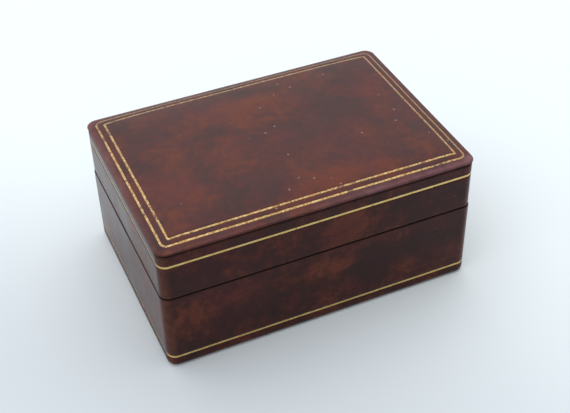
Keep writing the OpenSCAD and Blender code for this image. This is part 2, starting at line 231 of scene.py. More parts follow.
def crown_inset(x, y):
    """How far in from the widest edge points lie, along the crown's own round contours."""
    low, high = np.zeros_like(x), np.full_like(x, HALF_D - 1)
    for _ in range(30):
        middle = (low + high) / 2
        radius = np.minimum(CORNER_R + 0.35 * middle, HALF_D - middle)
        inside = outline_distance(x, y, HALF_W - middle, HALF_D - middle, radius) <= 0
        low, high = np.where(inside, middle, low), np.where(inside, high, middle)
    return low


def crown_height(inset):
    return CROWN_Z - (CROWN_Z - CROWN_START_Z) * np.exp(-(inset - CROWN_START_IN) / CROWN_RUN)


def frame_distances(x, y):
    """Distance from points to the middle of the outer and of the inner gilt frame."""
    outer = outline_distance(x, y, HALF_W - OUTER_FRAME_IN, HALF_D - OUTER_FRAME_IN, OUTER_FRAME_R)
    inner = outline_distance(x, y, HALF_W - INNER_FRAME_IN, HALF_D - INNER_FRAME_IN, 0)
    return np.abs(outer), np.abs(inner)


def groove(distance):
    """Depth of a gilt line's groove at a distance from its middle."""
    return GROOVE_DEPTH * (1 - smoothstep(GILT_W / 2 - 0.08, GILT_W / 2 + 0.14, distance))


def top_surface(x, y):
    """Height of the top's leather, with its soft unevenness and without the grooves."""
    points = np.column_stack([x, y, np.full_like(x, EDGE_Z)])
    uneven = 0.05 * waves(points, 14, 1) + 0.02 * waves(points, 4, 2)
    return crown_height(crown_inset(x, y)) + uneven * smoothstep(0, 3, crown_inset(x, y))


def by_hand(points):
    """The tooler's small errors: the long lines bow at mid-length, and no line is dead straight.

    The edge of the top stays where it is."""
    reach, front_bow, back_bow, right_shift, wobble = 4, 0.3, 1.1, 0.35, 0.08
    points = np.array(points, float)
    x, y = points[:, 0], points[:, 1]
    near_front = np.exp(-((y + HALF_D - INNER_FRAME_IN) / reach) ** 2)
    near_back = np.exp(-((y - HALF_D + INNER_FRAME_IN) / reach) ** 2)
    near_right = np.exp(-((x - HALF_W + INNER_FRAME_IN) / reach) ** 2)
    loose = smoothstep(0, 3, np.minimum(HALF_W - np.abs(x), HALF_D - np.abs(y)))
    points[:, 1] += loose * near_front * front_bow * (1 - (x / HALF_W) ** 2)
    points[:, 1] += loose * near_back * back_bow * (1 - (x / HALF_W) ** 4)
    points[:, 0] += loose * near_right * right_shift
    flat = points * (1, 1, 0)
    points[:, 0] += loose * wobble * waves(flat, 11, 3)
    points[:, 1] += loose * wobble * waves(flat, 11, 4)
    return points


def plan_radius(inset):
    """Corner radius of the mesh's loops, which match both frames as they pass them."""
    gap = 0.7
    stops = [0, OUTER_FRAME_IN - gap, OUTER_FRAME_IN + gap, INNER_FRAME_IN - gap]
    radii = [CORNER_R, OUTER_FRAME_R + gap, OUTER_FRAME_R - gap, 0]
    return float(np.interp(inset, stops, radii))


def loop_at(inset, z):
    return at_height(outline(HALF_W - inset, HALF_D - inset, plan_radius(inset)), z)


def crown_loops():
    """Rings from the tuck under the edge, round the bullnose and up to the flat middle."""
    loops = [loop_at(1.05, EDGE_Z - 0.92), loop_at(0.85, EDGE_Z - 0.95), loop_at(0.62, EDGE_Z - 0.88)]
    for turn in np.radians([-62, -40, -20, 0, 20, 40, 58, 68]):
        loops.append(loop_at(BULL_R * (1 - math.cos(turn)), EDGE_Z + BULL_R * math.sin(turn)))
    across = [-0.62, -0.5, -0.42, -0.3, 0, 0.3, 0.42, 0.5, 0.62]
    insets = [CROWN_START_IN, 0.9, 1.3, 1.9, 2.4] + [OUTER_FRAME_IN + d for d in across]
    insets += [4.4, 5.0, 5.5] + [INNER_FRAME_IN + d for d in across] + [MIDDLE_IN]
    for inset in insets:
        loop = loop_at(inset, 0)
        x, y = loop[:, 0], loop[:, 1]
        blend = smoothstep(0.8, 2.6, inset)
        followed = inset * (1 - blend) + crown_inset(x, y) * blend
        outer, inner = frame_distances(x, y)
        uneven = top_surface(x, y) - crown_height(crown_inset(x, y))
        loop[:, 2] = crown_height(followed) + uneven - groove(outer) - groove(inner)
        loops.append(loop)
    return loops


def middle_grid(edge):
    """The grid of points inside a loop with square corners: x values, y values."""
    half_w, half_d = edge[:, 0].max(), edge[:, 1].max()
    near = edge[np.abs(edge[:, 1] + half_d) < 1e-6]
    side = edge[np.abs(edge[:, 0] + half_w) < 1e-6]
    return np.unique(near[:, 0].round(5)), np.unique(side[:, 1].round(5))


def top_skin(loops, drop):
    """Points and faces of the crown: the rings, then the grid that fills the last of them."""
    around = len(loops[0])
    points = [p for loop in loops for p in loop]
    faces = ring_faces(len(loops), around, closed=False)
    last = {(round(p[0], 4), round(p[1], 4)): (len(loops) - 1) * around + i
            for i, p in enumerate(loops[-1])}
    xs, ys = middle_grid(loops[-1])
    grid_x, grid_y = [g.ravel() for g in np.meshgrid(xs, ys)]
    height = top_surface(grid_x, grid_y) - drop
    index = []
    for x, y, z in zip(grid_x, grid_y, height):
        known = last.get((round(x, 4), round(y, 4)))
        if known is None:
            points.append((x, y, z))
            known = len(points) - 1
        index.append(known)
    index = np.array(index).reshape(len(ys), len(xs))
    for j in range(len(ys) - 1):
        for i in range(len(xs) - 1):
            faces.append((index[j, i], index[j, i + 1], index[j + 1, i + 1], index[j + 1, i]))
    return points, [tuple(int(v) for v in f) for f in faces]


def shell(outer, inner):
    """A closed piece from an outer and an inner skin whose first rings are joined."""
    outer_points, outer_faces = outer
    inner_points, inner_faces = inner
    start = len(outer_points)
    around = len(outline(HALF_W, HALF_D, CORNER_R))
    faces = outer_faces + [tuple(v + start for v in f)[::-1] for f in inner_faces]
    for i in range(around):
        n = (i + 1) % around
        faces.append((i, start + i, start + n, n))
    return list(outer_points) + list(inner_points), faces


def inner_loops(drop, first_in, first_z):
    """Rings of the crown's underside, from the board's edge to the middle."""
    loops = [loop_at(first_in, first_z), loop_at(first_in, EDGE_Z - 0.3)]
    for inset in (CROWN_START_IN + drop, 3.4, 5.5, MIDDLE_IN):
        loop = loop_at(inset, 0)
        loop[:, 2] = top_surface(loop[:, 0], loop[:, 1]) - drop
        loops.append(loop)
    return loops


def build_top_cover():
    """The top's leather. The top of its edge is lighter, partly from wear and partly a painted
    highlight;
    painted shade darkens the crease under it and the left margin towards the front; and a painted
    sheen lightens the margin outside the outer frame, most at the right of the front."""
    outer = top_skin(crown_loops(), 0)
    inner = top_skin(inner_loops(LEATHER_T, LEATHER_T + 0.2, EDGE_Z - 0.85), LEATHER_T)
    points, faces = shell(outer, inner)
    x, y, z = np.array(points).T
    flat = np.array(points) * (1, 1, 0)
    inset = crown_inset(x, y)
    # Lighter top of the edge, most at the corners: partly wear, partly a painted highlight.
    from_corner = np.maximum(HALF_W - np.abs(x), 0) + np.maximum(HALF_D - np.abs(y), 0)
    on_edge = smoothstep(1.6, 0.3, inset) * smoothstep(EDGE_Z + 0.1, EDGE_Z + 0.55, z)
    wear = (0.35 + 0.65 * smoothstep(9, 2, from_corner)) * on_edge
    # Painted shade: darker in the crease under the edge, most near the left of the front, and on the
    # left margin towards the front.
    hollow = 0.5 + 0.25 * waves(flat, 16, 7)
    near_left = np.exp(-np.hypot(x + HALF_W, y + HALF_D) / 7)
    grime = smoothstep(EDGE_Z + 0.5, EDGE_Z - 0.2, z) * np.clip(hollow + 0.6 * near_left, 0.3, 0.9)
    left_front_shade = smoothstep(4.5, 2.5, HALF_W + x) * smoothstep(10, -HALF_D, y)
    grime = np.maximum(grime, 0.32 * left_front_shade)
    # Painted sheen: the margin outside the outer frame is lighter and mauve, most at the right of the
    # front.
    front = smoothstep(5, 3, HALF_D + y) * (0.06 + 0.8 * smoothstep(-HALF_W / 2, HALF_W, x))
    left = smoothstep(5, 3, HALF_W + x) * (0.15 + 0.25 * smoothstep(-HALF_D, 0, y))
    elsewhere = np.full(len(x), 0.12)
    patchy = 0.85 + 0.45 * waves(flat, 9, 8)
    faded = smoothstep(3.6, 0.6, inset) * np.maximum.reduce([front, left, elsewhere]) * patchy
    piece = make_piece("lid_top_cover", by_hand(points), faces, sharp_angle=50)
    return paint(piece, wear=wear, grime=grime, faded=faded)


def build_wadding():
    """The cotton wadding between the top board and the leather."""
    drop = LEATHER_T + 0.02
    board_z = box_mm("lid_top_board")[1][2]
    loops = inner_loops(drop, LEATHER_T + 0.3, board_z)
    loops[1][:, 2] = board_z + 0.3
    upper = top_skin(loops, drop)
    lower_loops = [loop_at(LEATHER_T + 0.3, board_z), loop_at(MIDDLE_IN, board_z)]
    points, faces = top_skin(lower_loops, 0)
    points = [(p[0], p[1], board_z) for p in points]
    closed = shell(upper, (points, faces))
    return make_piece("lid_wadding_layer", *closed)


# ---------- The leather round the sides ----------

def side_unevenness(points, seed):
    """How far the side leather dips at each point, shared with the gilt line that lies in it."""
    return 0.05 * waves(points, 17, seed) + 0.015 * waves(points, 5, seed + 1)


def in_notch(x, y):
    """Whether points lie on the far side where a hinge leaf crosses the rim."""
    found = np.zeros(len(x), bool)
    for low, high in NOTCHES:
        found |= (x > low) & (x < high) & (y > 0)
    return found


def side_cover(name, half_w, half_d, profile, gilt_z, notch_z, seam_z, seed):
    """Leather round the four sides. profile lists (inset, z) round the leather's section."""
    loops = []
    for inset, z in profile:
        ring = at_height(outline(half_w - inset, half_d - inset, CORNER_R - inset), z)
        if inset < 0.5:
            dent = groove(abs(z - gilt_z)) + side_unevenness(ring, seed)
            joint = np.abs(ring[:, 0] - JOINT_X)
            dent = dent + np.where(ring[:, 1] > 0, 0.08 * (1 - smoothstep(0, 0.28, joint)), 0)
            middle = np.array([half_w - CORNER_R, half_d - CORNER_R])
            out = ring[:, :2] - np.clip(ring[:, :2], -middle, middle)
            out /= np.maximum(np.linalg.norm(out, axis=1), 1e-6)[:, None]
            ring[:, :2] -= out * dent[:, None]
        notched = in_notch(ring[:, 0], ring[:, 1])
        limit, up = notch_z
        cut = np.maximum(ring[:, 2], limit) if up else np.minimum(ring[:, 2], limit)
        ring[:, 2] = np.where(notched, cut, ring[:, 2])
        loops.append(ring)
    points = np.concatenate(loops)
    x, y, z = points.T
    # Lighter corners and the highest and lowest edges: partly wear, partly a painted highlight.
    corner = smoothstep(CORNER_R + 0.5, 1.6, np.maximum(half_w - np.abs(x), half_d - np.abs(y)))
    edge = smoothstep(1.2, 0.2, np.minimum(np.abs(z - z.min()), np.abs(z - z.max())))
    piece = make_piece(name, points, ring_faces(len(loops), len(loops[0]), closed=True))
    # Painted shade: darker on the rim faces at the seam between lid and base, and just under the top's
    # crease.
    inset = -outline_distance(x, y, half_w, half_d, CORNER_R)
    on_rim = smoothstep(-0.05, 0.2, inset) * smoothstep(2.2, 0.7, inset)
    grime = smoothstep(0.6, 0.15, np.abs(z - seam_z)) * on_rim
    crease = 0.35 * smoothstep(1.1, 0.2, LID_HIGH[2] - z)
    return paint(piece, wear=np.maximum(0.7 * corner, 0.3 * edge), grime=np.maximum(grime, crease))


def upright(z0, z1, gilt_z):
    """Heights down a side from z1 to z0, close together where the gilt line is."""
    fine = [gilt_z + d for d in (0.62, 0.5, 0.42, 0.3, 0, -0.3, -0.42, -0.5, -0.62)]
    coarse = [z for z in np.linspace(z1, z0, 14) if abs(z - gilt_z) > 0.9]
    return sorted(coarse + fine, reverse=True)


def build_lid_sides():
    rim, top = LID_LOW[2], LID_HIGH[2]
    board = rim + LEATHER_T
    wall = LID_HALF_W - box_mm("lid_right_lining")[1][0]
    turn_up_z = box_mm("lid_right_lining")[0][2] - 0.05
    skived = 0.2
    profile = [(LEATHER_T, top - 0.05), (0.6, top), (0.28, top - 0.1), (0.08, top - 0.32)]
    profile += [(0, top - 0.6)] + [(0, z) for z in upright(rim + 0.8, top - 1, LID_GILT_Z)]
    profile += [(0, rim + 0.45), (0.06, rim + 0.22), (0.2, rim + 0.06), (0.42, rim)]
    profile += [(1.6, rim), (wall - 0.3, rim), (wall + 0.1, rim + 0.1), (wall + skived, rim + 0.4)]
    profile += [(wall + skived, turn_up_z), (wall, turn_up_z), (wall, board), (LEATHER_T, board)]
    notch_z = (board - NOTCH_SLACK, True)
    return side_cover("lid_side_cover", LID_HALF_W, LID_HALF_D, profile, LID_GILT_Z, notch_z, rim,
                      LID_SIDE_SEED)


def build_base_cover():
    rim, foot = BASE_HIGH[2], BASE_LOW[2]
    board_top, board_foot = rim - LEATHER_T, foot + LEATHER_T
    wall = HALF_W - box_mm("base_right_lining")[1][0]
    foot_r, turn_in = 1.8, 9
    profile = [(wall - 0.02, board_top), (wall - 0.02, rim - 0.05), (wall - 0.3, rim), (1.6, rim)]
    profile += [(0.42, rim), (0.2, rim - 0.06), (0.06, rim - 0.22), (0, rim - 0.45)]
    profile += [(0, z) for z in upright(foot + foot_r + 0.3, rim - 0.8, BASE_GILT_Z)]
    for turn in np.radians([0, 18, 36, 54, 72, 90]):
        profile.append((foot_r * (1 - math.cos(turn)), foot + foot_r * (1 - math.sin(turn))))
    profile += [(4, foot), (turn_in - 0.1, foot), (turn_in, foot + 0.15), (turn_in, board_foot)]
    profile += [(LEATHER_T + 0.2, board_foot), (LEATHER_T, board_foot + 0.3), (LEATHER_T, board_top)]
    notch_z = (board_top + NOTCH_SLACK, False)
    return side_cover("base_cover", HALF_W, HALF_D, profile, BASE_GILT_Z, notch_z, rim, BASE_SEED)


# ---------- Gilt lines ----------

def even_path(half_w, half_d, radius, step):
    """Points at even steps round a round-cornered rectangle, with their outward directions."""
    corners = []
    for quarter, (sx, sy) in enumerate([(1, 1), (-1, 1), (-1, -1), (1, -1)]):
        count = max(round(radius * math.pi / 2 / step), 1)
        for turn in np.radians(np.linspace(0, 90, count + 1) + 90 * quarter):
            out = (math.cos(turn), math.sin(turn))
            middle = (sx * (half_w - radius), sy * (half_d - radius))
            corners.append((middle[0] + radius * out[0], middle[1] + radius * out[1], *out))
    path = []
    for a, b in zip(corners, corners[1:] + corners[:1]):
        a, b = np.array(a), np.array(b)
        count = max(round(np.linalg.norm(b[:2] - a[:2]) / step), 1)
        path += [a + (b - a) * i / count for i in range(count)]
    return np.array(path)


def build_side_gilt(name, half_w, half_d, z, seed):
    """A gilt line round the sides, a thin foil in its groove."""
    bottom, face = GROOVE_DEPTH + 0.06, GROOVE_DEPTH - FOIL_RISE
    section = [(face, f) for f in (-1, -0.5, 0, 0.5, 1)] + [(bottom, 1), (bottom, -1)]
    path = even_path(half_w, half_d, CORNER_R, 0.5)
    surface = at_height(path[:, :2], z)
    edge = waves(surface, 3, seed)
    dent = side_unevenness(surface, seed)
    rings = []
    for inset, side in section:
        points = path[:, :2] - path[:, 2:] * (inset + dent)[:, None]
        rings.append(at_height(points, z + side * (GILT_W / 2 - 0.02 + 0.03 * edge)))
    return make_piece(name, np.concatenate(rings), ring_faces(len(rings), len(path), closed=True), 60)


def foil_strip(path, seed, lift):
    """Rings of a foil strip along a path of (x, y, out_x, out_y) on the top."""
    flat = at_height(path[:, :2], 0)
    rings = []
    for side in (-1, -0.5, 0, 0.5, 1):
        ragged = 0.06 * waves(flat + (0, 0, 7 * side), 1.1, seed) + 0.05 * waves(flat, 5, seed + 1)
        reach = side * (GILT_W / 2 - 0.04 + ragged)
        xy = path[:, :2] + path[:, 2:] * reach[:, None]
        z = top_surface(xy[:, 0], xy[:, 1]) - GROOVE_DEPTH + FOIL_RISE + lift
        rings.append(at_height(xy, z + 0.022 * waves(at_height(xy, 0), 0.9, seed + 2)))
    under = 0.1
    rings.append(rings[4] - (0, 0, under))
    rings.append(rings[0] - (0, 0, under))
    return rings


def rubbed(points):
    """How dull handling has left the frames: most at the back and the far right."""
    x, y = np.array(points, float)[:, :2].T
    starts, full = INNER_FRAME_IN + 2, INNER_FRAME_IN - 0.5
    back = 0.55 * smoothstep(starts, full, HALF_D - y)
    right = smoothstep(starts, full, HALF_W - x) * (0.62 + 0.28 * y / HALF_D)
    left = smoothstep(starts, full, HALF_W + x) * (0.20 + 0.20 * y / HALF_D)
    return np.maximum.reduce([back, right, left])


def build_outer_frame():
    """The outer gilt frame of the top, in one run round its round corners."""
    path = even_path(HALF_W - OUTER_FRAME_IN, HALF_D - OUTER_FRAME_IN, OUTER_FRAME_R, FOIL_STEP)
    rings = foil_strip(path, 31, 0)
    points = np.concatenate(rings)
    faces = ring_faces(len(rings), len(path), closed=True)
    return paint(make_piece("lid_outer_gilt", by_hand(points), faces, 60), rub=rubbed(points))


def build_inner_frame():
    """The inner gilt frame: four strokes of the fillet that just cross at the corners."""
    half_w, half_d = HALF_W - INNER_FRAME_IN, HALF_D - INNER_FRAME_IN
    points, faces = [], []
    strokes = [((0, -1), 0.25), ((1, 0), 0.1), ((0, 1), 0.3), ((-1, 0), 0.15)]
    for k, (out, overshoot) in enumerate(strokes):
        out = np.array(out, float)
        along = np.array([-out[1], out[0]])
        half = (half_w if out[0] == 0 else half_d) + GILT_W / 2 + overshoot
        away = half_d if out[0] == 0 else half_w
        steps = np.linspace(-half, half, round(2 * half / FOIL_STEP))
        path = np.array([[*(out * away + along * s), *out] for s in steps])
        rings = np.array(foil_strip(path, 41 + 5 * k, 0.012 * (k % 2)))
        section, count = rings.shape[:2]
        start = len(points)
        points += list(rings.transpose(1, 0, 2).reshape(-1, 3))
        strip = ring_faces(count, section, closed=False)
        faces += [tuple(v + start for v in f) for f in strip]
        faces.append(tuple(start + i for i in range(section)))
        faces.append(tuple(start + (count - 1) * section + i for i in range(section)))
    return paint(make_piece("lid_inner_gilt", by_hand(points), faces, 60), rub=rubbed(points))


# ---------- The velvet and satin inside ----------

def edge_stops(low, high, radius, step):
    """Places from low to high: close together at the rounded ends and about a step apart between."""
    near = radius * np.array([0, 0.12, 0.3, 0.55, 0.8, 1])
    count = max(round((high - low - 2 * radius) / step), 1)
    between = np.linspace(low + radius, high - radius, count + 1)[1:-1]
    return np.unique(np.concatenate([low + near, between, high - near]).round(5))


def soft_box(name, node, radius, step, shape):
    """A round-edged block in a CAD node's box. shape moves its points, for folds and swelling."""
    low, high = box_mm(node)
    stops = [edge_stops(low[k], high[k], radius, step) for k in range(3)]
    index, points, faces = {}, [], []

    def vertex(place):
        if place not in index:
            index[place] = len(points)
            points.append([stops[k][place[k]] for k in range(3)])
        return index[place]

    for axis in range(3):
        a, b = (axis + 1) % 3, (axis + 2) % 3
        for end in (0, len(stops[axis]) - 1):
            for i in range(len(stops[a]) - 1):
                for j in range(len(stops[b]) - 1):
                    face = []
                    for di, dj in ((0, 0), (1, 0), (1, 1), (0, 1)):
                        place = [0, 0, 0]
                        place[axis], place[a], place[b] = end, i + di, j + dj
                        face.append(vertex(tuple(place)))
                    faces.append(tuple(face))
    points = np.array(points)
    inner = np.clip(points, low + radius, high - radius)
    away = points - inner
    points = inner + radius * away / np.maximum(np.linalg.norm(away, axis=1), 1e-9)[:, None]
    return make_piece(name, shape(points, low, high), faces, 60)


def hand_laid(points, low, high):
    """Cloth glued over card: a little uneven, but no thicker than the card leaves room for."""
    middle = (low + high) / 2
    return middle + (points - middle) * (1 - 0.012 * (1 + waves(points, 9, 5)))[:, None]


def floor_shape(points, low, high):
    """The padded floor swells inside each compartment and is pinched under the dividers."""
    x, y, z = points.T
    wall_low, wall_high = box_mm("long_divider")
    cross_low, cross_high = box_mm("cross_divider")
    front = np.minimum.reduce([x - low[0], high[0] - x, y - low[1], wall_low[1] - y])
    back = np.minimum.reduce([x - low[0], high[0] - x, y - wall_high[1], high[1] - y])
    back = np.minimum(back, np.maximum(cross_low[0] - x, x - cross_high[0]))
    inside = np.clip(np.maximum(front, back), 0, None)
    uneven = 0.12 * waves(points, 8, 6) * np.minimum(inside / 3, 1)
    swell = -0.25 + 0.7 * (1 - np.exp(-inside / 3.5)) + uneven
    share = (z - low[2]) / (high[2] - low[2])
    return np.column_stack([x, y, z + share * swell])


def pad_shape(points, low, high):
    """The lid's padded lining before it is stuffed: thin at its edges, where it is gathered."""
    x, y, z = points.T
    side_x, side_y = np.minimum(x - low[0], high[0] - x), np.minimum(y - low[1], high[1] - y)
    inside = np.clip(np.minimum(side_x, side_y), 0, None)
    along = np.where(side_x < side_y, y, x)
    flat = np.column_stack([x, y, np.zeros_like(x)])
    pleat = np.sin(2 * math.pi * (along + 1.6 * waves(flat, 12, 8)) / 5.2)
    depth = 0.32 * np.exp(-inside / 7) * (1 + 0.6 * waves(flat, 9, 9)) * smoothstep(0, 1.5, inside)
    fullness = 0.30 + 0.45 * (1 - np.exp(-inside / 5))
    share = (high[2] - z) / (high[2] - low[2])
    return np.column_stack([x, y, high[2] - share * ((high[2] - low[2]) * fullness + depth * pleat)])


def stuffed(piece, held, deepest, spare, pressure):
    """Swells a piece downwards with Blender's cloth.

    held points stay put, and the rest is eased off before it is deepest millimetres lower.
    spare is how much bigger than its space the cloth was cut."""
    grown = 10  # the cloth solver is steadier on a larger piece
    mesh = piece.data
    start = np.array([v.co for v in mesh.vertices])
    mesh.transform(Matrix.Scale(grown, 4))
    group = piece.vertex_groups.new(name="held")
    for index in np.nonzero(held)[0]:
        group.add([int(index)], 1.0, "REPLACE")
    cloth = piece.modifiers.new("stuffing", "CLOTH")
    settings = cloth.settings
    settings.quality, settings.mass, settings.time_scale = 8, 0.25, 1.0
    settings.tension_stiffness, settings.compression_stiffness, settings.shear_stiffness = 20, 20, 8
    settings.bending_stiffness, settings.air_damping = 0.12, 3
    settings.vertex_group_mass = "held"
    settings.shrink_min = settings.shrink_max = -spare
    settings.use_pressure, settings.uniform_pressure_force = True, pressure
    settings.effector_weights.gravity = 0
    cloth.collision_settings.use_self_collision = False
    scene = bpy.context.scene
    steps = 30
    cloth.point_cache.frame_start, cloth.point_cache.frame_end = 1, steps
    for step in range(1, steps + 1):
        scene.frame_set(step)
    shaped = piece.evaluated_get(bpy.context.evaluated_depsgraph_get())
    end = np.array([v.co for v in shaped.data.vertices]) / grown
    piece.modifiers.clear()
    piece.vertex_groups.clear()
    scene.frame_set(1)
    swell = start[:, 2].min() + 0.5 * MM - end[:, 2]
    limit = (deepest + 0.5) * MM
    eased = limit * (1 - np.exp(-np.maximum(swell, 0) / limit))
    end[:, 2] += np.maximum(swell, 0) - eased
    mesh.vertices.foreach_set("co", end.ravel())
    mesh.update()


def build_lid_pad():
    """The padded satin under the lid's top, stuffed so that its gathered edge puckers."""
    low, high = box_mm("lid_pad")
    pad = soft_box("lid_pad_satin", "lid_pad", radius=0.9, step=1.7, shape=pad_shape)
    x, y, z = np.array([v.co for v in pad.data.vertices]).T / MM
    side = np.minimum.reduce([x - low[0], high[0] - x, y - low[1], high[1] - y])
    held = (z > high[2] - 0.5) | (side < 0.6)
    stuffed(pad, held, deepest=2.5, spare=0.07, pressure=0.8)
    smooth = pad.modifiers.new("smooth", "SUBSURF")
    smooth.levels = smooth.render_levels = 1
    return pad


def build_ring_roll(number):
    """A stuffed velvet roll, a little lumpy, with folded ends and a flat where it lies on its bed."""
    low, high = box_mm(f"ring_roll_{number}")
    middle, radius = (low + high) / 2, (high[2] - low[2]) / 2
    end_r = 2.2
    turns = np.radians(np.linspace(0, 360, 36, endpoint=False))
    across = np.array([0, 0.05, 0.16, 0.35, 0.6, 0.85]) * end_r
    between = np.linspace(low[0] + end_r, high[0] - end_r, 34)
    stations = np.concatenate([low[0] + across, between, (high[0] - across)[::-1]])
    rings = []
    for x in stations:
        inset = min(x - low[0], high[0] - x)
        round_off = end_r - math.sqrt(max(end_r ** 2 - max(end_r - inset, 0) ** 2, 0))
        ring = np.column_stack([np.full(len(turns), x), np.cos(turns), np.sin(turns)])
        lumps = 0.10 + 0.10 * waves(ring * (1, 7, 7), 6, 50 + number)
        reach = radius - round_off - lumps
        ring[:, 1:] *= reach[:, None]
        ring[:, 2] = np.maximum(ring[:, 2], 0.35 - radius)
        rings.append(ring + (0, middle[1], middle[2] - 0.3))
    points = np.concatenate(rings)
    faces = ring_faces(len(rings), len(turns), closed=False)
    around, last = len(turns), (len(rings) - 1) * len(turns)
    for start, end in ((0, low[0]), (last, high[0])):
        dimple = 0.35 if start == 0 else -0.35
        centre = len(points)
        points = np.vstack([points, (end + dimple, middle[1], middle[2] - 0.3)])
        faces += [(start + i, start + (i + 1) % around, centre) for i in range(around)]
    return make_piece(f"ring_roll_{number}_velvet", points, faces, 70)


def build_underside_felt():
    """The thin felt glued under the case, with cut edges."""
    low, high = box_mm("underside_pad")
    rings = []
    for inset, z in ((0.25, low[2]), (0.06, low[2] + 0.06), (0, low[2] + 0.2), (0, high[2])):
        plan = outline(high[0] - inset, high[1] - inset, 2)
        rough = 0.05 * waves(at_height(plan, z), 1.5, 60)
        rings.append(at_height(plan * (1 - 0.001 * (1 + rough[:, None])), z))
    around = len(rings[0])
    faces = ring_faces(len(rings), around, closed=False)
    faces.append(tuple(range(around)))
    faces.append(tuple(range((len(rings) - 1) * around, len(rings) * around)))
    return make_piece("underside_felt", np.concatenate(rings), faces, 40)


# ---------- Hinge screws ----------

def screw_mesh(turn):
    """Points and faces of a slotted countersunk screw, its head at the origin and facing up."""
    head_r, shank_r, head_t, length = 0.97, 0.5, 0.45, 4.9
    slot, slot_depth = 0.13, 0.22
    rows = [-0.93, -0.7, -0.4, -slot - 0.03, -slot, slot, slot + 0.03, 0.4, 0.7, 0.93]
    columns = np.linspace(-1, 1, 9)
    points = []
    for row in rows:
        chord = math.sqrt(head_r ** 2 - row ** 2)
        sunk = slot_depth if abs(row) <= slot + 1e-6 else 0
        points += [(chord * c, row, -sunk - 0.05 * (c * c * chord ** 2 + row ** 2)) for c in columns]
    wide, tall = len(columns), len(rows)
    faces = [(j * wide + i, j * wide + i + 1, (j + 1) * wide + i + 1, (j + 1) * wide + i)
             for j in range(tall - 1) for i in range(wide - 1)]
    rim = list(range(wide)) + [j * wide + wide - 1 for j in range(1, tall)]
    rim += [(tall - 1) * wide + i for i in range(wide - 2, -1, -1)]
    rim += [j * wide for j in range(tall - 2, 0, -1)]
    last = rim
    for radius, z in ((head_r, -0.12), (shank_r, -head_t), (shank_r, -length + 0.8), (0.08, -length)):
        ring = []
        for v in rim:
            x, y = points[v][:2]
            reach = math.hypot(x, y)
            ring.append(len(points))
            points.append((x / reach * radius, y / reach * radius, z))
        for i in range(len(rim)):
            n = (i + 1) % len(rim)
            faces.append((last[i], last[n], ring[n], ring[i]))
        last = ring
    faces.append(tuple(last))
    c, s = math.cos(turn), math.sin(turn)
    return np.array([(x * c - y * s, x * s + y * c, z) for x, y, z in points]), faces


def build_screws(name, node, up):
    """The four screws of one leaf on each hinge, each turned home at its own angle."""
    low, high = box_mm(node)
    y, head_z = (low[1] + high[1]) / 2, high[2] if up else low[2]
    points, faces = [], []
    for side in ("left", "right"):
        hinge_x = centre_mm(f"{side}_hinge_base_leaf")[0]
        reach = high[0] - 1 - abs(hinge_x)
        for along in (-reach, reach):
            own, own_faces = screw_mesh(0.7 * hinge_x + 0.45 * along)
            own[:, 2] *= 1 if up else -1
            faces += [tuple(v + len(points) for v in f) for f in own_faces]
            points += list(own + (hinge_x + along, y, head_z))
    return make_piece(name, points, faces, 40)


# ---------- Materials ----------

